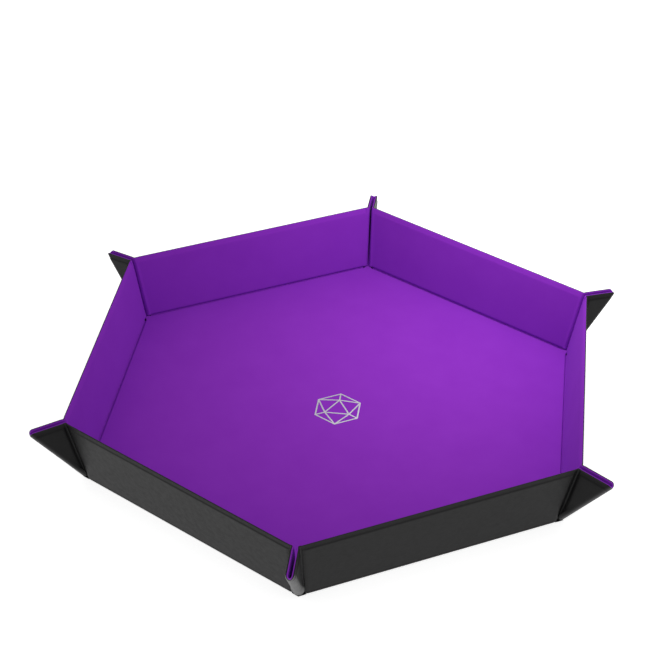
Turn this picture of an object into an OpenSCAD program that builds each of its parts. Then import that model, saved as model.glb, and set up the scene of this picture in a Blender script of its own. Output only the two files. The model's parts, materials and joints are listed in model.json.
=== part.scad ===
// Folding hexagonal dice tray. Six side walls hinge on the fold lines of a stiff rolling floor. At each
// corner two triangular gussets, one hinged to the end of each wall, stand together as a slotted ear and
// are held by a pair of disc magnets. Unfolded, every panel lies flat in one plane.
// The model is drawn with the walls up. +Z is up, and the floor's underside is centred on the origin.

/* [Tray] */
// Side of the hexagonal rolling floor, along the visible crease
floor_side = 160; // [120:1:200]
// Slant height of a side wall, from the visible crease to the rim
wall_height = 43; // [34:1:52]
// Lean of a raised wall away from the vertical, in degrees
wall_lean = 10.9; // [6:0.1:18]

/* [Panels] */
// Thickness of the outer shell sheet
shell_t = 0.5; // [0.4:0.05:0.6]
// Thickness of the lining sheet
lining_t = 0.5; // [0.4:0.05:0.6]
// Thickness of the boards inside the floor, the walls and the gussets
board_t = 1.2; // [1:0.1:1.6]
// Width of the bonded margin between a board and the rim
rim_margin = 3; // [2:0.5:4]
// Width of the bonded margin between a board and a wall's lower fold strip
fold_margin = 0.4; // [0.3:0.1:1]
// Width of the bonded margin between a board and an end fold strip
end_margin = 1; // [0.5:0.1:1.5]
// Corner radius of the wall panels
panel_r = 2; // [1:0.5:3]
// Corner radius of the floor panel
floor_r = 4; // [2:0.5:6]

/* [Folds] */
// Distance from a wall's lower fold line to the stiff part of the floor and of the wall
fold_gap = 1.8; // [1.6:0.1:2.6]
// Distance from a wall's end fold line to the stiff part of the wall and of the gusset
end_gap = 2; // [1.8:0.1:2.6]
// Clearance between a fold's bead and the sheet that turns about it
fold_clearance = 0.15; // [0.1:0.05:0.2]

/* [Corner gussets] */
// Width of the open slot between the two gussets of an ear
ear_slot = 1.6; // [1.2:0.1:3]
// Distance from the ear's outer fold line to the gusset's edge
ear_inset = 0.8; // [0.5:0.1:1.5]
// Width of the bonded margin between a stiffener and the ear's outer fold line
ear_margin = 1.6; // [1:0.1:2]
// Corner radius of the gussets
gusset_r = 1.2; // [0.8:0.1:1.6]
// Diameter of the disc magnets
magnet_d = 6; // [4:0.5:7]
// Thickness of the disc magnets
magnet_t = 1; // [0.8:0.1:1]

/* [Floor mark] */
// Distance from the centre of the foil mark to its points
mark_r = 15; // [8:1:30]
// Width of the foil lines
mark_line = 0.9; // [0.5:0.1:2]

/* [Hidden] */
sides = 6;
half_side_angle = 180 / sides;
turn_angle = 360 / sides;
walls = [1 : sides];
// Number of straight steps in a rounded corner
arc_steps = 6;
foil_t = 0.08;
// Size of the foil mark's middle triangle, as a share of the whole mark's
mark_inner_share = 0.58;
// Gap all round a magnet in its hole
magnet_clearance = 0.1;
// How much a fold's bead swells out beyond the shell sheet
bead_swell = 0.1;
// How far a bead stops short of each end of its strip
bead_inset = 0.5;
// How far a fold strip reaches into the panel that it belongs to
root_overlap = 0.2;
// How far the fold strips stop short of a corner, where three panels meet
corner_relief = 5;
$fn = 48;

shell_colour = [0.11, 0.11, 0.115];
lining_colour = [0.36, 0.08, 0.62];
board_colour = [0.55, 0.53, 0.49];
magnet_colour = [0.78, 0.78, 0.8];
foil_colour = [0.75, 0.74, 0.77];

// Fold angle of a wall, from flat to raised
wall_fold = 90 - wall_lean;
// Height of the panels' middle plane, which holds every fold line, above the underside
mid_z = shell_t + board_t / 2;
// Height of the lining's face above the middle plane
lining_rise = lining_t + board_t / 2;
// Distance from a wall's fold line to the crease that shows on the lining
crease_inset = lining_rise * tan(wall_fold / 2);
apothem = floor_side * cos(half_side_angle) + crease_inset;
fold_side = 2 * apothem * tan(half_side_angle);
wall_len = wall_height + crease_inset;

// A wall widens towards its rim at this angle, which brings its end edges to the corner's own plane
flare = atan(tan(half_side_angle) * cos(wall_fold));
// Angle of a gusset at its lower point
gusset_angle = half_side_angle - flare;
// Fold angle of a gusset, from flat to standing in the ear
gusset_fold = atan((cos(half_side_angle) * cos(flare) + sin(half_side_angle) * cos(wall_fold) * sin(flare))
    / (sin(half_side_angle) * sin(wall_fold)));

// Distance of a wall's end fold line from the corner, which leaves the slot between the gussets
corner_shift = (ear_slot / 2 + lining_rise) / cos(half_side_angle);
end_line_x = fold_side / 2 - corner_shift;
// A fold's round bead is a little thicker than the sheet that it ends
bead_r = shell_t + bead_swell;
strip_start = bead_r + fold_clearance;

function unit(v) = v / norm(v);
function turned(v, angle) = [v.x * cos(angle) - v.y * sin(angle), v.x * sin(angle) + v.y * cos(angle)];

// The arc that rounds corner b of an anticlockwise outline that runs from a to b to c
function corner_arc(a, b, c, r) =
    let (
        back = unit(a - b),
        ahead = unit(c - b),
        half = acos(back * ahead) / 2,
        centre = b + unit(back + ahead) * r / sin(half),
        first = b + back * r / tan(half) - centre
    )
    [for (i = [0 : arc_steps]) centre + turned(first, (180 - 2 * half) * i / arc_steps)];

function rounded(points, r) =
    let (n = len(points))
    [for (i = [0 : n - 1]) each corner_arc(points[(i + n - 1) % n], points[i], points[(i + 1) % n], r)];

function ring_point(r, angle) = [r * cos(angle), r * sin(angle)];

// The floor's hexagon, drawn in from the fold lines by the inset
function floor_outline(inset) =
    [for (k = walls) ring_point((apothem - inset) / cos(half_side_angle), turn_angle * k - half_side_angle)];

// A wall lies along +Y from its lower fold line, which is the X axis
function wall_end_x(y, inset) = end_line_x + y * tan(flare) - inset / cos(flare);
function wall_outline(low_margin, side_margin, high_margin) =
    let (low = fold_gap + low_margin, high = wall_len - high_margin, side = end_gap + side_margin)
    [
        [-wall_end_x(low, side), low],
        [wall_end_x(low, side), low],
        [wall_end_x(high, side), high],
        [-wall_end_x(high, side), high]
    ];

// A gusset lies on the +X side of its fold line, which is the Y axis, with its point at the origin
function gusset_top_y(x, inset) = (wall_len - inset + x * sin(flare)) / cos(flare);
function gusset_low_y(x, inset) = (x * cos(gusset_angle) + inset) / sin(gusset_angle);
function gusset_tip_x(far, top) =
    ((wall_len - top) * sin(gusset_angle) / cos(flare) - far)
    / (cos(gusset_angle) - sin(gusset_angle) * tan(flare));
function gusset_outline(near_margin, far_margin, top_margin) =
    let (near = end_gap + near_margin, far = ear_inset + far_margin, tip = gusset_tip_x(far, top_margin))
    [
        [near, gusset_low_y(near, far)],
        [tip, gusset_top_y(tip, top_margin)],
        [near, gusset_top_y(near, top_margin)]
    ];

// The point that is equally far from the three edges of a triangle
function incentre(p) =
    let (a = norm(p[1] - p[2]), b = norm(p[2] - p[0]), c = norm(p[0] - p[1]))
    (a * p[0] + b * p[1] + c * p[2]) / (a + b + c);

wall_edge = wall_outline(0, 0, 0);
wall_board_edge = wall_outline(fold_margin, end_margin, rim_margin);
gusset_edge = gusset_outline(0, 0, 0);
stiffener_edge = gusset_outline(end_margin, ear_margin, rim_margin);
magnet_at = incentre(stiffener_edge);
strip_low = gusset_low_y(end_gap, ear_inset) + gusset_r;
strip_high = gusset_top_y(0, 0) - gusset_r;

module slab(low, high) {
    translate([0, 0, low]) linear_extrude(high - low) children();
}

module bead(from, to, r) {
    translate([0, from, 0]) rotate([-90, 0, 0]) cylinder(r = r, h = to - from);
}

// Places a wall's own frame on its fold line, unfolded
module at_fold_line(k) {
    rotate([0, 0, turn_angle * (k - 1) - 90]) translate([0, apothem, mid_z]) children();
}

module on_wall(k) {
    at_fold_line(k) rotate([wall_fold, 0, 0]) children();
}

// Places a gusset's own frame on the end of a flat wall. End b is the wall's +X end, and end a mirrors it
module at_end_line(end) {
    mirror([end == "a" ? 1 : 0, 0, 0])
        translate([end_line_x, 0, 0])
        rotate([0, 0, -flare])
        children();
}

module on_gusset(k, end) {
    on_wall(k) at_end_line(end) rotate([0, gusset_fold, 0]) children();
}

// The strip of sheet between a panel and its lower fold line, on the side that way points to
module fold_strip(way, from, to, low, high) {
    half = end_line_x - corner_relief;
    slab(low, high)
        polygon(way > 0
            ? [[-half, from], [half, from], [half, to], [-half, to]]
            : [[-half, -to], [half, -to], [half, -from], [-half, -from]]);
}

// The strip of sheet between a panel's end and the end fold line
module end_strip(from, to, low, high) {
    slab(low, high)
        polygon([[from, strip_low], [to, strip_low], [to, strip_high], [from, strip_high]]);
}

module floor_shell() {
    color(shell_colour) {
        translate([0, 0, mid_z]) difference() {
            slab(-mid_z, 0) polygon(rounded(floor_outline(fold_gap), floor_r));
            slab(-board_t / 2, mid_z) polygon(rounded(floor_outline(fold_gap + fold_margin), floor_r));
        }
        for (k = walls) at_fold_line(k) {
            fold_strip(-1, 0, fold_gap + root_overlap, -shell_t, 0);
            rotate([0, 0, -90])
                bead(corner_relief + bead_inset - end_line_x, end_line_x - corner_relief - bead_inset, bead_r);
        }
    }
}

module floor_board() {
    color(board_colour) translate([0, 0, mid_z])
        slab(-board_t / 2, board_t / 2) polygon(rounded(floor_outline(fold_gap + fold_margin), floor_r));
}

module floor_lining() {
    color(lining_colour) {
        translate([0, 0, mid_z]) difference() {
            slab(0, lining_rise) polygon(rounded(floor_outline(fold_gap), floor_r));
            slab(-mid_z, board_t / 2) polygon(rounded(floor_outline(fold_gap + fold_margin), floor_r));
        }
        for (k = walls) at_fold_line(k) fold_strip(-1, strip_start, fold_gap + root_overlap, 0, lining_t);
    }
}

module foil_line(from, to) {
    way = to - from;
    translate(from) rotate(atan2(way.y, way.x)) {
        translate([0, -mark_line / 2]) square([norm(way), mark_line]);
        circle(d = mark_line);
    }
}

// A plain twenty-sided die seen face on: six outer points, a middle triangle and the edges that join them
module floor_mark() {
    inner_r = mark_r * mark_inner_share;
    color(foil_colour) translate([0, 0, mid_z + lining_rise]) linear_extrude(foil_t) {
        for (i = [0 : sides - 1]) {
            angle = half_side_angle + turn_angle * i;
            foil_line(ring_point(mark_r, angle), ring_point(mark_r, angle + turn_angle));
        }
        for (i = [0 : 2]) {
            angle = 90 + 2 * turn_angle * i;
            foil_line(ring_point(inner_r, angle), ring_point(inner_r, angle + 2 * turn_angle));
            for (spread = [-turn_angle, 0, turn_angle])
                foil_line(ring_point(inner_r, angle), ring_point(mark_r, angle + spread));
        }
    }
}

module wall_shell(k) {
    color(shell_colour) on_wall(k) {
        difference() {
            slab(-mid_z, 0) polygon(rounded(wall_edge, panel_r));
            slab(-board_t / 2, mid_z) polygon(rounded(wall_board_edge, panel_r));
        }
        fold_strip(1, strip_start, fold_gap + root_overlap, -shell_t, 0);
        for (end = ["a", "b"]) at_end_line(end) {
            end_strip(-end_gap - root_overlap, 0, -shell_t, 0);
            bead(strip_low + bead_inset, strip_high - bead_inset, bead_r);
        }
    }
}

module wall_board(k) {
    color(board_colour) on_wall(k)
        slab(-board_t / 2, board_t / 2) polygon(rounded(wall_board_edge, panel_r));
}

module wall_lining(k) {
    color(lining_colour) on_wall(k) {
        difference() {
            slab(0, lining_rise) polygon(rounded(wall_edge, panel_r));
            slab(-mid_z, board_t / 2) polygon(rounded(wall_board_edge, panel_r));
        }
        fold_strip(1, strip_start, fold_gap + root_overlap, 0, lining_t);
        for (end = ["a", "b"]) at_end_line(end)
            end_strip(-end_gap - root_overlap, -strip_start, 0, lining_t);
    }
}

module gusset_cover(k, end) {
    color(shell_colour) on_gusset(k, end) {
        difference() {
            slab(-mid_z, lining_rise) polygon(rounded(gusset_edge, gusset_r));
            slab(-board_t / 2, board_t / 2) polygon(rounded(stiffener_edge, gusset_r));
        }
        end_strip(strip_start, end_gap + root_overlap, -shell_t, lining_t);
    }
}

module gusset_stiffener(k, end) {
    color(board_colour) on_gusset(k, end) difference() {
        slab(-board_t / 2, board_t / 2) polygon(rounded(stiffener_edge, gusset_r));
        slab(-board_t, board_t) translate(magnet_at) circle(d = magnet_d + 2 * magnet_clearance);
    }
}

module gusset_magnet(k, end) {
    color(magnet_colour) on_gusset(k, end)
        slab(-magnet_t / 2, magnet_t / 2) translate(magnet_at) circle(d = magnet_d);
}

floor_shell();
floor_board();
floor_lining();
floor_mark();
for (k = walls) {
    wall_shell(k);
    wall_board(k);
    wall_lining(k);
    for (end = ["a", "b"]) {
        gusset_cover(k, end);
        gusset_stiffener(k, end);
        gusset_magnet(k, end);
    }
}
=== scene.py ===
"""Looks of the folding hexagonal dice tray.

Every sheet of the tray is laid out flat, as it was cut, and is then folded up about the CAD model's own
fold lines. Lengths are in millimetres until a mesh is made, and angles in radians.
"""

import json
import math

import bpy
import numpy as np
from mathutils import Matrix, Vector


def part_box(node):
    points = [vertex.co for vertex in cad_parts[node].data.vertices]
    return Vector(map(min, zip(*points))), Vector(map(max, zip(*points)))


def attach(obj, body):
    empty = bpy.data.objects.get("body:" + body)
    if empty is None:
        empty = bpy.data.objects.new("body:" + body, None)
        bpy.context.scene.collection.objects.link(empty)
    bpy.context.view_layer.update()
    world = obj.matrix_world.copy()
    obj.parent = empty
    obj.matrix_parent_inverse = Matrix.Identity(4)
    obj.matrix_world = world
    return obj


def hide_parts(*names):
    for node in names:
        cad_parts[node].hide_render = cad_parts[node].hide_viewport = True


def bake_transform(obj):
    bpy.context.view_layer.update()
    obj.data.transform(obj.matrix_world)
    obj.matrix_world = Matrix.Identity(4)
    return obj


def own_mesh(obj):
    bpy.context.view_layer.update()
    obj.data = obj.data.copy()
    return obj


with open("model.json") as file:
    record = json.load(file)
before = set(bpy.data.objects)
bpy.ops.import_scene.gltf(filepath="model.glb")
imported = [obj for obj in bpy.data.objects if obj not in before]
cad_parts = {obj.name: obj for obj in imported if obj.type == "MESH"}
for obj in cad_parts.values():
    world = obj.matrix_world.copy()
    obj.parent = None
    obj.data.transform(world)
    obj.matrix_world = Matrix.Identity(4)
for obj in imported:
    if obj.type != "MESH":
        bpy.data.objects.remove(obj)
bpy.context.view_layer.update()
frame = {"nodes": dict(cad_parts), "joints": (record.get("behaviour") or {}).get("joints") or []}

MM = 0.001
SIDES = 6
HALF_TURN = math.pi / SIDES
TURN = 2 * HALF_TURN
WALLS = range(1, SIDES + 1)
ENDS = ("a", "b")

# ---------------------------------------------------------------- sizes, read from the frame

JOINTS = {joint["name"]: joint for joint in frame["joints"]}
LEAD = JOINTS["wall_1_fold"]
APOTHEM = math.hypot(LEAD["pos_m"][0], LEAD["pos_m"][1]) / MM
MID_Z = LEAD["pos_m"][2] / MM
WALL_FOLD = math.radians(LEAD["range_deg"][1])
WALL_LEN = (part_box("wall_1_shell")[1].z / MM - MID_Z) / math.sin(WALL_FOLD)
HALF_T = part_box("floor_lining")[1].z / MM - MID_Z
# The two gussets of the back ear stand square to X, one on each side of the corner's plane
SLOT_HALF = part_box("gusset_2a_cover")[0].x / MM
EAR_HALF = SLOT_HALF + HALF_T

HALF_SIDE = APOTHEM * math.tan(HALF_TURN)
FLARE = math.atan(math.tan(HALF_TURN) * math.cos(WALL_FOLD))
GUSSET_ANGLE = HALF_TURN - FLARE
GUSSET_FOLD = math.atan2(
    math.cos(HALF_TURN) * math.cos(FLARE) + math.sin(HALF_TURN) * math.cos(WALL_FOLD) * math.sin(FLARE),
    math.sin(HALF_TURN) * math.sin(WALL_FOLD),
)
END_X = HALF_SIDE - EAR_HALF / math.cos(HALF_TURN)

# ---------------------------------------------------------------- sizes of the sheets' own shapes

SHEET_T = 0.5
# How far the board lifts a sheet off the middle plane
LIFT = HALF_T - SHEET_T
# Distance from the rim to the board's edge, and how much of the lift goes in one step there
RIM_MARGIN = 3.0
RIM_STEP = {"lining": 0.2, "shell": 0.5}
RIM_STEP_START = 2.4
RIM_STEP_WIDTH = 1.3
# Rounding of a sheet's cut edge, and how far in from the edge it reaches
EDGE_ROUND = 0.1
EDGE_ROUND_WIDTH = 0.3
# The lining is pressed thinner along the rim, and is cut back a little from the shell's edge
THINNING = {"lining": 0.1, "shell": 0.0}
THINNING_WIDTH = 2.5
CUT_BACK = {"lining": 0.1, "shell": 0.0}
# The lining's crease beside the lower fold line: its depth, half its flat width, and its slope's width
CREASE_DEPTH = 0.85
CREASE_HALF = 1.15
CREASE_SLOPE = 0.6
# Beside an end fold the soft lining bulges by this share of the lift, within this distance
END_BULGE = 0.45
END_BULGE_WIDTH = 2.2
# The shell sinks between the boards there: how near the fold line its slope begins, and its width
END_SINK_START = 0.2
END_SINK_WIDTH = 3.2
# The shell's bulge low on an ear: its depth, and the heights between which it grows and dies out again
PUFF = 1.4
PUFF_GROWS = (0.4, 3.9)
PUFF_DIES = (5.0, 16.0)
# The distances across the end fold line between which it grows
PUFF_ACROSS = (-1.5, 1.1)
# Where the panels' edges are worn lighter: how much, and how far in from the rim
RIM_WEAR = 0.3
RIM_WEAR_WIDTH = 0.8
# Distance from an end fold line to the seam between a wall's pieces and a gusset's
END_SEAM = 1.6
# Radius of an ear's tip
EAR_TIP_R = 2.2
# The rims of an ear's two gussets are pressed towards each other
EAR_RIM_DROP = {"lining": 0.3, "shell": 1.0}
# How far inside the ear's outer fold line its rounded fold, the nose, begins from NOSE_CLOSES up
NOSE_START = {"lining": 1.0, "shell": 1.7}
NOSE_CLOSES = 5.0

# Where each side's wall piece begins, and how far its bend about the lower fold line reaches
SEAM = {"lining": 1.4, "shell": 2.8}
WALL_BEND = {"lining": 1.6, "shell": 2.6}
# How far a gusset's bend about its end fold line reaches
END_BEND = {"lining": 0.7, "shell": 1.6}
# The side of the middle plane that a sheet is on
SIGN = {"lining": 1.0, "shell": -1.0}

# Halvings in the search for a point's blend weight
SEARCH_STEPS = 40
# Edges bent more than this are shaded sharp
SHARP_ANGLE = math.radians(50)


def smooth(t):
    """An even rise from 0 to 1 while t does the same, level at both ends."""
    t = np.clip(t, 0.0, 1.0)
    return t * t * (3.0 - 2.0 * t)


def rise(value, between):
    """From 0 to 1 while the value goes from the first to the second of two bounds."""
    first, second = between
    return smooth((value - first) / (second - first))


# ---------------------------------------------------------------- folding

def turned(a, b, angle):
    """The plane vectors (a, b), turned from a towards b."""
    return a * np.cos(angle) - b * np.sin(angle), a * np.sin(angle) + b * np.cos(angle)


def blend_weight(along, up, fold, reach):
    """How far each point of a flat sheet has turned about its fold line, from 0 to 1, once it is folded.
    """
    run_a = reach * (1 + math.cos(fold))
    run_b = reach * math.sin(fold)
    low = np.zeros_like(along)
    high = np.ones_like(along)
    for _ in range(SEARCH_STEPS):
        weight = (low + high) / 2
        a, b = turned(along, up, weight * fold)
        found = smooth(((a + reach) * run_a + b * run_b) / (run_a**2 + run_b**2))
        low = np.where(found > weight, weight, low)
        high = np.where(found > weight, high, weight)
    return (low + high) / 2


def from_gusset(points, end, fold):
    """Gusset coordinates to wall coordinates. fold is the angle that each point has turned."""
    x, y, z = np.moveaxis(points, -1, 0)
    z, x = turned(z, x, fold)
    return end_to_wall(np.stack([x, y, z], -1), end)


def end_to_wall(points, end):
    """The coordinates of a gusset that lies flat, whose y runs along the end fold, to its wall's."""
    x, y, z = np.moveaxis(points, -1, 0)
    x, y = turned(x, y, -FLARE)
    x = x + END_X
    return np.stack([-x if end == "a" else x, y, z], -1)


def from_wall(points, k, fold):
    """Wall coordinates to the tray's, still in millimetres. fold is the angle that each point has turned."""
    x, y, z = np.moveaxis(points, -1, 0)
    y, z = turned(y, z, fold)
    x, y = turned(x, y + APOTHEM, TURN * (k - 1) - math.pi / 2)
    return np.stack([x, y, z + MID_Z], -1)


# ---------------------------------------------------------------- meshes

def closed_sheet(name, outer, inner, flat, materials, wear=None, ring=False, flip=False):
    """A closed sheet between two grids of points. flat gives each point's place on the flat cut sheet.

    wear says how worn each point is, from 0 to 1, and on the ears' rounded folds how strongly a painted
    highlight lightens it. Only the shell's material shows it.
    """
    rows, cols = outer.shape[:2]
    points = np.concatenate([outer.reshape(-1, 3), inner.reshape(-1, 3)]) * MM
    under = rows * cols

    def at(i, j):
        return i * cols + j % cols

    faces = []
    for i in range(rows - 1):
        for j in range(cols if ring else cols - 1):
            quad = (at(i, j), at(i, j + 1), at(i + 1, j + 1), at(i + 1, j))
            faces.append(quad)
            faces.append(tuple(under + v for v in reversed(quad)))
    border = [(at(0, j + 1), at(0, j)) for j in range(cols if ring else cols - 1)]
    if ring:
        faces.append(tuple(at(rows - 1, j) for j in range(cols)))
        faces.append(tuple(under + at(rows - 1, j) for j in reversed(range(cols))))
    else:
        border += [(at(rows - 1, j), at(rows - 1, j + 1)) for j in range(cols - 1)]
        border += [(at(i, 0), at(i + 1, 0)) for i in range(rows - 1)]
        border += [(at(i + 1, cols - 1), at(i, cols - 1)) for i in range(rows - 1)]
    faces += [(a, b, under + b, under + a) for a, b in border]
    if flip:
        faces = [tuple(reversed(face)) for face in faces]

    mesh = bpy.data.meshes.new(name)
    mesh.from_pydata(points.tolist(), [], faces)
    mesh.validate()
    layer = mesh.uv_layers.new(name="Sheet")
    corners = np.zeros(len(mesh.loops), dtype=np.int32)
    mesh.loops.foreach_get("vertex_index", corners)
    flat_points = np.tile(flat.reshape(-1, 2), (2, 1)) * MM
    layer.data.foreach_set("uv", flat_points[corners].astype(np.float32).ravel())
    if wear is not None:
        # Holds the real wear along the rims and, on the ears' rounded folds, a painted highlight
        wear_and_highlight = mesh.attributes.new("wear_and_highlight", "FLOAT", "POINT")
        wear_and_highlight.data.foreach_set("value", np.tile(wear.ravel(), 2).astype(np.float32))
    for material in materials:
        mesh.materials.append(material)
    mesh.shade_smooth()
    mesh.set_sharp_from_angle(angle=SHARP_ANGLE)
    piece = bpy.data.objects.new(name, mesh)
    bpy.context.scene.collection.objects.link(piece)
    return piece


# ---------------------------------------------------------------- how thick the laminate is at each place

def rim_share(side, from_rim):
    """0 at the rim, where the two sheets meet, and 1 over the board, whose edge shows as a soft step."""
    step = RIM_STEP[side]
    slope = np.clip(from_rim / RIM_MARGIN, 0, 1) * (1 - step)
    return slope + step * smooth((from_rim - RIM_STEP_START) / RIM_STEP_WIDTH)


def fold_dip(side, from_fold):
    """Depth of the crease beside the lower fold line. The shell runs straight round that fold."""
    if side == "shell":
        return np.zeros_like(from_fold)
    return CREASE_DEPTH * (1 - smooth((np.abs(from_fold) - CREASE_HALF) / CREASE_SLOPE))


def end_share(side, from_end):
    """1 over the boards beside an end fold. The shell sinks between them, and the soft lining bulges."""
    away = np.abs(from_end)
    if side == "lining":
        return 1 + END_BULGE * (1 - smooth(away / END_BULGE_WIDTH))
    return smooth((away - END_SINK_START) / END_SINK_WIDTH)


def puff(level, across):
    """The shell's bulge low on an ear, below the stiffener, where the folded sheets push it out."""
    return PUFF * rise(level, PUFF_GROWS) * (1 - rise(level, PUFF_DIES)) * rise(across, PUFF_ACROSS)


def thickness(side, from_fold, from_rim, from_end, rim_drop=1.0):
    """Distance from the middle plane to the sheet's face. rim_drop is how much of it goes at the rim."""
    share = (1 - rim_drop * (1 - rim_share(side, from_rim))) * end_share(side, from_end)
    rounding = EDGE_ROUND * (1 - smooth(from_rim / EDGE_ROUND_WIDTH))
    thinning = THINNING[side] * (1 - smooth(from_rim / THINNING_WIDTH))
    return SHEET_T + LIFT * share - fold_dip(side, from_fold) * share - rounding - thinning


# ---------------------------------------------------------------- rows and columns shared by the pieces

# Rows of a wall's piece below the lower fold line, and the height of its first row above
BELOW_ROWS = 7
WALL_FIRST_ROW = 0.4
# Heights of the rows next to the lower fold line, and distances from the rim of the rows next to it
LOW_ROWS = [0.8, 1.2, 1.6, 1.9, 2.3, 3.0, 4.5, 7.0]
HIGH_ROWS = [7.0, 5.0, 4.0, 3.5, 3.2, 2.9, 2.6, 2.2, 1.4, 0.7, 0.35, 0.15, 0.0]
MIDDLE_ROWS = 8
# Distances of a wall's columns from its end seam
SIDE_STEPS = [0.0, 0.4, 0.8, 1.2, 1.6, 2.0, 2.5, 3.1, 4.0, 6.0, 9.0]
MIDDLE_COLUMNS = 26
# Where a gusset's rows begin, a little above or below the level of the lower fold line
GUSSET_START = {"lining": 0.65, "shell": -0.55}


def levels(side):
    """Distances from the lower fold line, close together where the laminate changes thickness."""
    rim = WALL_LEN - CUT_BACK[side]
    middle = np.linspace(LOW_ROWS[-1], rim - HIGH_ROWS[0], MIDDLE_ROWS + 2)[1:-1]
    return np.array([GUSSET_START[side], *LOW_ROWS, *middle, *(rim - d for d in HIGH_ROWS)])


def wall_piece(side, k, materials):
    """One sheet of a wall, which bends with it about the lower fold line."""
    below = np.linspace(-SEAM[side], 0.0, BELOW_ROWS)
    y = np.concatenate([below, [WALL_FIRST_ROW], levels(side)[1:]])
    near = END_SEAM + np.array(SIDE_STEPS)
    edge = END_X + y * math.tan(FLARE)
    right = edge[:, None] - near[None, :] / math.cos(FLARE)
    middle = np.linspace(-1, 1, MIDDLE_COLUMNS + 2)[1:-1]
    x = np.concatenate([-right, middle[None, :] * right[:, -1:], right[:, ::-1]], 1)
    y = np.repeat(y[:, None], x.shape[1], 1)
    from_end = (END_X + y * math.tan(FLARE) - np.abs(x)) * math.cos(FLARE)
    from_rim = WALL_LEN - CUT_BACK[side] - y
    outer_z = thickness(side, y, from_rim, from_end)
    inner_z = outer_z - SHEET_T
    grids = []
    for z in (outer_z, inner_z):
        up = SIGN[side] * z
        weight = blend_weight(y, up, WALL_FOLD, WALL_BEND[side])
        grids.append(from_wall(np.stack([x, y, up], -1), k, weight * WALL_FOLD))
    flat = from_wall(np.stack([x, y, np.zeros_like(x)], -1), k, 0.0)[..., :2]
    wear_and_highlight = RIM_WEAR * (1 - smooth(from_rim / RIM_WEAR_WIDTH))
    piece = closed_sheet(f"wall_{k}_{side}_sheet", *grids, flat, materials, wear_and_highlight, flip=side == "shell")
    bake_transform(piece)
    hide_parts(f"wall_{k}_{side}")


# Distances of a gusset's columns from the ear's outer fold and from the wall's seam
FAR_STEPS = [0.0, 0.3, 0.7, 1.2, 1.9, 2.8]
NEAR_STEPS = [0.0, 0.4, 0.8, 1.2, 1.6, 2.0, 2.4, 2.8, 3.2, 3.6, 4.0, 4.4, 4.8, 5.4]
GUSSET_COLUMNS = 4
# Width left for the columns between them, where a gusset is narrow
SPARE_WIDTH = 1.0


def tip_limit(out):
    """Greatest distance along the ear's outer fold line at a distance out beyond it, with a rounded tip.

    The arc of the tip touches the straight rim, which is HALF_TURN off square to the outer fold line.
    """
    top = WALL_LEN / math.cos(HALF_TURN)
    centre = EAR_HALF - EAR_TIP_R
    height = top + (math.sin(HALF_TURN) * centre - EAR_TIP_R) / math.cos(HALF_TURN)
    straight = top + out * math.tan(HALF_TURN)
    arc = height + np.sqrt(np.clip(EAR_TIP_R**2 - (out - centre) ** 2, 0, None))
    return np.where(out < centre - EAR_TIP_R * math.sin(HALF_TURN), straight, arc)


def nose_start(side, level):
    """How far inside the ear's outer fold line its rounded fold begins. It closes up at the base."""
    return NOSE_START[side] * smooth(level / NOSE_CLOSES)


def gusset_face(side, x, level):
    """Distance from a gusset's middle plane to its face."""
    face = thickness(side, level, WALL_LEN - CUT_BACK[side] - level, x, EAR_RIM_DROP[side])
    return face + puff(level, x) if side == "shell" else face


def gusset_grid(side):
    """Points of a flat gusset, in its own coordinates, from the wall's seam to the ear's rounded fold."""
    rows = []
    for level in levels(side):
        near = np.array([-END_SEAM, (level - END_SEAM * math.sin(FLARE)) / math.cos(FLARE)])
        inset = nose_start(side, level)
        along = (level - inset * math.sin(HALF_TURN)) / math.cos(HALF_TURN)
        far = np.array(outer_fold_point(along, -inset))
        width = np.linalg.norm(far - near)
        squeeze = min(1.0, width / (NEAR_STEPS[-1] + FAR_STEPS[-1] + SPARE_WIDTH))
        left = np.array(NEAR_STEPS) * squeeze
        right = width - np.array(FAR_STEPS[::-1]) * squeeze
        middle = np.linspace(left[-1], right[0], GUSSET_COLUMNS + 2)[1:-1]
        share = np.concatenate([left, middle, right]) / width
        rows.append(near + share[:, None] * (far - near))
    return np.array(rows)


def outer_fold_point(along, out):
    """The flat gusset's point at a distance along its outer fold line, and at a distance out beyond it."""
    x = along * math.sin(GUSSET_ANGLE) + out * math.cos(GUSSET_ANGLE)
    y = along * math.cos(GUSSET_ANGLE) - out * math.sin(GUSSET_ANGLE)
    return x, y


def gusset_place(points, weight, k, end):
    """Gusset coordinates to the tray's at rest. weight is the share of the end fold each point turns by."""
    folded = from_gusset(points, end, weight * GUSSET_FOLD)
    return from_wall(folded, k, WALL_FOLD)


def gusset_flat(points, k, end):
    """Gusset coordinates to the place on the flat cut sheet."""
    return from_wall(end_to_wall(points, end), k, 0.0)[..., :2]


def gusset_piece(side, k, end, materials, nose_materials):
    """One sheet of a gusset with its rounded fold. It bends about the end fold line."""
    grid = gusset_grid(side)
    x, y = grid[..., 0], grid[..., 1]
    level = y * math.cos(FLARE) - x * math.sin(FLARE)
    outer_z = gusset_face(side, x, level)
    grids = []
    for z in (outer_z, outer_z - SHEET_T):
        up = SIGN[side] * z
        weight = blend_weight(x, -up, GUSSET_FOLD, END_BEND[side])
        grids.append(gusset_place(np.stack([x, y, up], -1), weight, k, end))
    flat = gusset_flat(np.stack([x, y, np.zeros_like(x)], -1), k, end)
    wear_and_highlight = RIM_WEAR * (1 - smooth((WALL_LEN - level) / RIM_WEAR_WIDTH))
    flip = (side == "shell") != (end == "a")
    piece = closed_sheet(f"gusset_{k}{end}_{side}_sheet", *grids, flat, materials, wear_and_highlight, flip=flip)
    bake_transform(piece)
    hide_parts(f"gusset_{k}{end}_cover")
    nose = nose_piece(side, k, end, nose_materials)


# Columns round a nose, and the angle of the first of them
NOSE_STEPS = 10
FIRST_STEP = 0.02
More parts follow.
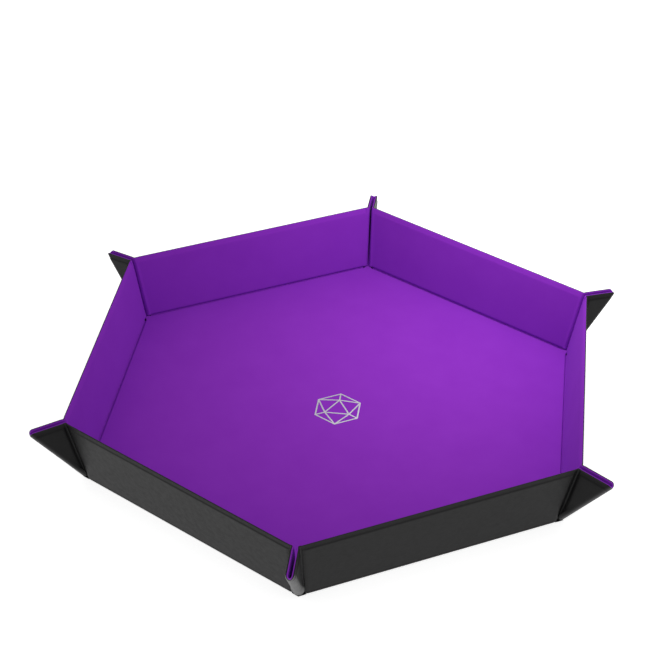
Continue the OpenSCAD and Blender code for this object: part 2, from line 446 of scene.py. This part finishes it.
# Thickness of the shell and the lining together, round the fold
NOSE_T = 1.0
# How far the rounded fold tucks in under the gusset's sheet, and how deep below its face
NOSE_OVERLAP = 0.3
NOSE_TUCK = 0.05
# How far out it reaches at its base, and the heights between which it reaches its full size
NOSE_BASE = 0.5
NOSE_GROWS = (0.2, 2.0)
# The heights, and the angles round the fold, between which the fold is painted paler: a painted highlight
# that stands in for its reflection of the white table
HIGHLIGHT_HEIGHTS = (2.5, 6.5)
HIGHLIGHT_ANGLES = (0.2, 1.1)


def nose_face(side, level, angle):
    """One face of the ear's outer fold, from the gusset to the corner's plane, in gusset coordinates."""
    full = rise(level, NOSE_GROWS)
    reach = NOSE_BASE + (EAR_HALF - NOSE_BASE) * full
    if side == "lining":
        reach = reach - NOSE_T * full
    start = nose_start(side, level)
    x, _ = outer_fold_point(level / math.cos(HALF_TURN), -start)
    face = SIGN[side] * gusset_face(side, x, level)
    out = -start + (reach + start) * np.sin(angle)
    up = EAR_HALF - (EAR_HALF - face) * np.cos(angle)
    first = angle == 0
    out = np.where(first, -start - NOSE_OVERLAP, out)
    up = np.where(first, face - SIGN[side] * NOSE_TUCK, up)
    low = level[0, 0] / math.cos(HALF_TURN)
    share = (level - level[0, 0]) / (level[-1, 0] - level[0, 0])
    top = tip_limit(out) - CUT_BACK[side] / math.cos(HALF_TURN)
    along = low + (top - low) * share
    x, y = outer_fold_point(along, out)
    return np.stack([x, y, up + np.zeros_like(x)], -1)


def nose_piece(side, k, end, materials):
    """One sheet's half of the ear's rounded outer fold, where the shell and the lining lie on each other."""
    angle = np.array([0.0, *np.linspace(FIRST_STEP, math.pi / 2, NOSE_STEPS)])[None, :]
    faces = {name: nose_face(name, levels(name)[:, None], angle) for name in SIGN}
    middle = (faces["shell"] + faces["lining"]) / 2
    grids = [gusset_place(points, np.ones(points.shape[:2]), k, end) for points in (faces[side], middle)]
    flat = gusset_flat(middle * np.array([1, 1, 0]), k, end)
    level = levels(side)[:, None]
    # Painted highlight: the fold's colour is lightened here as though lit, in place of a reflection
    wear_and_highlight = rise(level, HIGHLIGHT_HEIGHTS) * rise(angle, HIGHLIGHT_ANGLES)
    flip = (side == "shell") == (end == "b")
    piece = closed_sheet(f"gusset_{k}{end}_{side}_nose", *grids, flat, materials, wear_and_highlight, flip=flip)
    # The two noses of an ear meet at these faces, which show as lining where the flat tray parts them
    for polygon in piece.data.polygons[-(len(level) - 1):]:
        polygon.material_index = len(materials) - 1
    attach(piece, f"gusset_{k}{end}")
    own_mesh(piece)
    return piece


# ---------------------------------------------------------------- the floor's two sheets

# Distances of the floor's points from a corner, along a side
CORNER_STEPS = [0.0, 0.6, 1.2, 2.0, 3.0, 4.5, 7.0, 12.0]
# The distances from a corner within which a sheet runs out past it fully, and at all
CORNER_REACH = {"lining": (1.5, 4.0), "shell": (4.0, 9.0)}
SIDE_POINTS = 12
# Each ring's distance inside the fold lines, the same distance at a corner, and its lift there
FLOOR_RINGS = {
    "lining": [
        (1.4, -0.8, 0.3),
        (1.5, -0.5, 0.08),
        (1.6, -0.2, 0.0),
        (1.7, 0.4, 0.0),
        (1.85, 1.0, 0.0),
        (2.1, 1.7, 0.0),
        (2.6, 2.4, 0.0),
        (3.5, 3.5, 0.0),
        (6, 6, 0.0),
        (12, 12, 0.0),
        (24, 24, 0.0),
        (45, 45, 0.0),
        (75, 75, 0.0),
        (110, 110, 0.0),
    ],
    "shell": [
        (2.8, -1.05, 0.35),
        (2.85, -0.95, 0.2),
        (2.9, -0.7, 0.08),
        (3.0, -0.3, 0.02),
        (3.1, 0.5, 0.0),
        (3.6, 2.0, 0.0),
        (5, 4.5, 0.0),
        (9, 9, 0.0),
        (20, 20, 0.0),
        (45, 45, 0.0),
        (75, 75, 0.0),
        (110, 110, 0.0),
    ],
}


def floor_ring(side, inset, corner_inset):
    """One closed ring of the floor, and how near each of its points is to a corner, from 0 to 1."""
    half = HALF_SIDE - corner_inset * math.tan(HALF_TURN)
    scale = min(1.0, half / (2 * CORNER_STEPS[-1]))
    near = np.array(CORNER_STEPS) * scale
    middle = np.linspace(-(half - near[-1]), half - near[-1], SIDE_POINTS + 2)[1:-1]
    x = np.concatenate([-(half - near), middle, (half - near)[::-1]])[:-1]
    from_corner = (half - np.abs(x)) / scale
    nearness = 1 - rise(from_corner, CORNER_REACH[side])
    y = APOTHEM - inset + (inset - corner_inset) * nearness
    ring = [np.stack(turned(-x, y, TURN * (k - 1) - math.pi / 2), -1) for k in WALLS]
    return np.concatenate(ring), np.tile(nearness, SIDES)


def floor_piece(side, materials):
    """One sheet of the floor, in rings from its edge to its middle."""
    rings, faces = [], []
    for inset, corner_inset, lift in FLOOR_RINGS[side]:
        ring, nearness = floor_ring(side, inset, corner_inset)
        rings.append(ring)
        face = SHEET_T + LIFT - fold_dip(side, np.array([float(inset)]))
        faces.append(SIGN[side] * face + lift * nearness)
    flat = np.array(rings)
    outer_z = np.array(faces)
    heights = (outer_z, outer_z - SIGN[side] * SHEET_T)
    grids = [np.concatenate([flat, (MID_Z + z)[..., None]], -1) for z in heights]
    piece = closed_sheet(f"floor_{side}_sheet", *grids, flat, materials, ring=True, flip=side == "shell")
    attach(piece, "tray_floor")
    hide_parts(f"floor_{side}")


# ---------------------------------------------------------------- materials

# Each surface's own colour, then the two that its pattern varies between
LINING = (0.27, 0.034, 0.52)
LINING_RANGE = ((0.263, 0.030, 0.51), (0.277, 0.034, 0.53))
LINING_SHEEN = (0.8, 0.5, 1.0, 1)
SHELL = (0.0045, 0.0045, 0.0048)
SHELL_RANGE = ((0.0036, 0.0035, 0.0038), (0.0054, 0.0053, 0.0056))
# Paler shell colour for worn rims, also used as a painted highlight on the ears' rounded folds
SHELL_WEAR_AND_HIGHLIGHT = (0.055, 0.054, 0.056)
BOARD = (0.42, 0.39, 0.34)
BOARD_RANGE = ((0.38, 0.35, 0.31), (0.46, 0.43, 0.38))
NICKEL = (0.72, 0.71, 0.69)
FOIL = (0.7, 0.68, 0.74)
STAGE = (0.9, 0.9, 0.9)
WHITE = (1, 1, 1, 1)
NOISE_RANGE = (0.3, 0.7)
# Depth of the finest relief of a surface, in metres
FINE_RELIEF = 0.0001


def material(name, base_color, roughness, **sockets):
    """A new material and its shader. Further sockets are named with _ for each space."""
    made = bpy.data.materials.new(name)
    made.use_nodes = True
    shader = made.node_tree.nodes["Principled BSDF"]
    shader.inputs["Base Color"].default_value = (*base_color, 1)
    shader.inputs["Roughness"].default_value = roughness
    for socket, value in sockets.items():
        shader.inputs[socket.replace("_", " ")].default_value = value
    return made, shader


def node(made, kind, inputs=None, **settings):
    new = made.node_tree.nodes.new(kind)
    for key, value in settings.items():
        setattr(new, key, value)
    for key, value in (inputs or {}).items():
        if isinstance(value, bpy.types.NodeSocket):
            made.node_tree.links.new(value, new.inputs[key])
        else:
            new.inputs[key].default_value = value
    return new


def sheet_place(made):
    """Where a point lies on the flat sheet, in metres."""
    return node(made, "ShaderNodeUVMap", uv_map="Sheet").outputs["UV"]


def noise(made, place, scale, detail, roughness):
    inputs = {"Vector": place, "Scale": scale, "Detail": detail, "Roughness": roughness}
    return node(made, "ShaderNodeTexNoise", inputs).outputs["Fac"]


def remap(made, value, low, high):
    """Spreads a noise's values, nearly all of which lie in NOISE_RANGE, from low to high."""
    inputs = {"Value": value, "To Min": low, "To Max": high}
    inputs["From Min"], inputs["From Max"] = NOISE_RANGE
    return node(made, "ShaderNodeMapRange", inputs).outputs["Result"]


def mix_colour(made, share, first, second):
    new = node(made, "ShaderNodeMix", data_type="RGBA")
    colour_sockets = [socket for socket in new.inputs if socket.type == "RGBA"]
    made.node_tree.links.new(share, new.inputs["Factor"])
    for socket, colour in zip(colour_sockets, (first, second)):
        if isinstance(colour, bpy.types.NodeSocket):
            made.node_tree.links.new(colour, socket)
        else:
            socket.default_value = (*colour, 1)
    return next(socket for socket in new.outputs if socket.type == "RGBA")


def bump(made, shader, height, strength, before=None):
    inputs = {"Strength": strength, "Distance": FINE_RELIEF, "Height": height}
    if before is not None:
        inputs["Normal"] = before
    new = node(made, "ShaderNodeBump", inputs)
    made.node_tree.links.new(new.outputs["Normal"], shader.inputs["Normal"])
    return new.outputs["Normal"]


def lining_material():
    made, shader = material("lining", LINING, 0.9, Sheen_Weight=0.04, Sheen_Roughness=0.5)
    shader.inputs["Sheen Tint"].default_value = LINING_SHEEN
    shader.inputs["Specular IOR Level"].default_value = 0.05
    place = sheet_place(made)
    nap = noise(made, place, scale=40, detail=3.0, roughness=0.6)
    colour = mix_colour(made, remap(made, nap, low=0, high=1), *LINING_RANGE)
    made.node_tree.links.new(colour, shader.inputs["Base Color"])
    fibres = noise(made, place, scale=2600, detail=2.0, roughness=0.7)
    tufts = noise(made, place, scale=420, detail=3.0, roughness=0.6)
    first = bump(made, shader, fibres, strength=0.35)
    bump(made, shader, tufts, strength=0.2, before=first)
    return made


def shell_material():
    made, shader = material("shell", SHELL, 0.4)
    shader.inputs["Specular IOR Level"].default_value = 0.12
    place = sheet_place(made)
    mottle = noise(made, place, scale=90, detail=3.0, roughness=0.6)
    colour = mix_colour(made, remap(made, mottle, low=0, high=1), *SHELL_RANGE)
    wear_and_highlight = node(made, "ShaderNodeAttribute", attribute_name="wear_and_highlight").outputs["Fac"]
    # The paler colour shows real wear along the rims and a painted highlight on the ears' rounded folds
    colour = mix_colour(made, wear_and_highlight, colour, SHELL_WEAR_AND_HIGHLIGHT)
    made.node_tree.links.new(colour, shader.inputs["Base Color"])
    patches = noise(made, place, scale=300, detail=2.0, roughness=0.5)
    made.node_tree.links.new(remap(made, patches, low=0.36, high=0.44), shader.inputs["Roughness"])
    grain = node(made, "ShaderNodeTexVoronoi", {"Vector": place, "Scale": 1500.0}, feature="SMOOTH_F1")
    creases = noise(made, place, scale=500, detail=3.0, roughness=0.6)
    first = bump(made, shader, grain.outputs["Distance"], strength=0.25)
    bump(made, shader, creases, strength=0.15, before=first)
    return made


def object_place(made):
    """Where a point lies in its piece's own frame, in metres."""
    return node(made, "ShaderNodeTexCoord").outputs["Object"]


def board_material():
    made, shader = material("board", BOARD, 0.9)
    place = object_place(made)
    fibre = noise(made, place, scale=900, detail=4.0, roughness=0.7)
    colour = mix_colour(made, remap(made, fibre, low=0, high=1), *BOARD_RANGE)
    made.node_tree.links.new(colour, shader.inputs["Base Color"])
    bump(made, shader, fibre, strength=0.3)
    return made


def magnet_material():
    made, shader = material("magnet", NICKEL, 0.28, Metallic=1.0)
    place = object_place(made)
    plating = noise(made, place, scale=2500, detail=2.0, roughness=0.5)
    made.node_tree.links.new(remap(made, plating, low=0.22, high=0.36), shader.inputs["Roughness"])
    return made


def foil_material():
    made, shader = material("foil", FOIL, 0.35, Metallic=1.0)
    place = object_place(made)
    wear = noise(made, place, scale=1200, detail=3.0, roughness=0.6)
    made.node_tree.links.new(remap(made, wear, low=0.28, high=0.45), shader.inputs["Roughness"])
    bump(made, shader, wear, strength=0.15)
    return made


def dress(name, made):
    """Gives a carried-over CAD node its finished material."""
    slots = frame["nodes"][name].data.materials
    slots.clear()
    slots.append(made)


# ---------------------------------------------------------------- the tray

lining = lining_material()
shell = shell_material()
board = board_material()
magnet = magnet_material()
foil = foil_material()

for side, cloth in (("lining", lining), ("shell", shell)):
    floor_piece(side, [cloth])
    for k in WALLS:
        wall_piece(side, k, [cloth])
        for end in ENDS:
            gusset_piece(side, k, end, [cloth], [cloth, lining])
for k in WALLS:
    dress(f"wall_{k}_board", board)
    for end in ENDS:
        dress(f"gusset_{k}{end}_stiffener", board)
        dress(f"gusset_{k}{end}_magnet", magnet)
dress("floor_board", board)
dress("floor_mark", foil)

# ---------------------------------------------------------------- the studio

STAGE_SIZE = 12.0
STAGE_GAP = 0.0003
STAGE_GLOW = 0.76
SKY = 0.51


def stage_floor():
    """A white table lit a little from inside, as for a cut-out picture, so that hardly any shadow shows."""
    made, shader = material("stage", STAGE, 0.9)
    shader.inputs["Specular IOR Level"].default_value = 0.0
    shader.inputs["Emission Color"].default_value = WHITE
    shader.inputs["Emission Strength"].default_value = STAGE_GLOW
    bpy.ops.mesh.primitive_plane_add(size=STAGE_SIZE, location=(0, 0, -STAGE_GAP))
    plane = bpy.context.object
    plane.name = "stage_floor"
    plane.data.materials.append(made)


def softbox(name, location, size, power):
    """A square light that faces down."""
    data = bpy.data.lights.new(name, "AREA")
    data.size = size
    data.energy = power
    light = bpy.data.objects.new(name, data)
    light.location = location
    light.visible_camera = False
    bpy.context.scene.collection.objects.link(light)


def sky(strength):
    """Even white light from all round."""
    world = bpy.data.worlds.new("studio")
    world.use_nodes = True
    back = world.node_tree.nodes["Background"]
    back.inputs["Color"].default_value = WHITE
    back.inputs["Strength"].default_value = strength
    bpy.context.scene.world = world


# Found by fitting the tray's corners and ear tips to the photo
CAMERA_AZIMUTH = math.radians(7.71)
CAMERA_ELEVATION = math.radians(35.896)
CAMERA_ROLL = math.radians(0.124)
CAMERA_DISTANCE = 1118.4
CAMERA_TARGET = (-16.0, 81.7, 2.2)
CAMERA_LENS = 92.8
SENSOR_WIDTH = 36
# Nearest and farthest distance that the camera shows, in metres
CLIP = (0.05, 50)


def camera():
    data = bpy.data.cameras.new("camera")
    data.lens = CAMERA_LENS
    data.sensor_width = SENSOR_WIDTH
    data.clip_start, data.clip_end = CLIP
    made = bpy.data.objects.new("camera", data)
    level = math.cos(CAMERA_ELEVATION)
    back = Vector(
        (
            math.sin(CAMERA_AZIMUTH) * level,
            -math.cos(CAMERA_AZIMUTH) * level,
            math.sin(CAMERA_ELEVATION),
        )
    )
    made.location = (Vector(CAMERA_TARGET) + back * CAMERA_DISTANCE) * MM
    facing = (-back).to_track_quat("-Z", "Y").to_matrix()
    roll = Matrix.Rotation(CAMERA_ROLL, 3, "Z")
    made.rotation_mode = "QUATERNION"
    made.rotation_quaternion = (facing @ roll).to_quaternion()
    bpy.context.scene.collection.objects.link(made)
    bpy.context.scene.camera = made


stage_floor()
sky(SKY)
softbox("overhead", location=(0.08, 0.09, 0.19), size=0.15, power=0.26)
camera()
bpy.context.scene.view_settings.view_transform = "Standard"
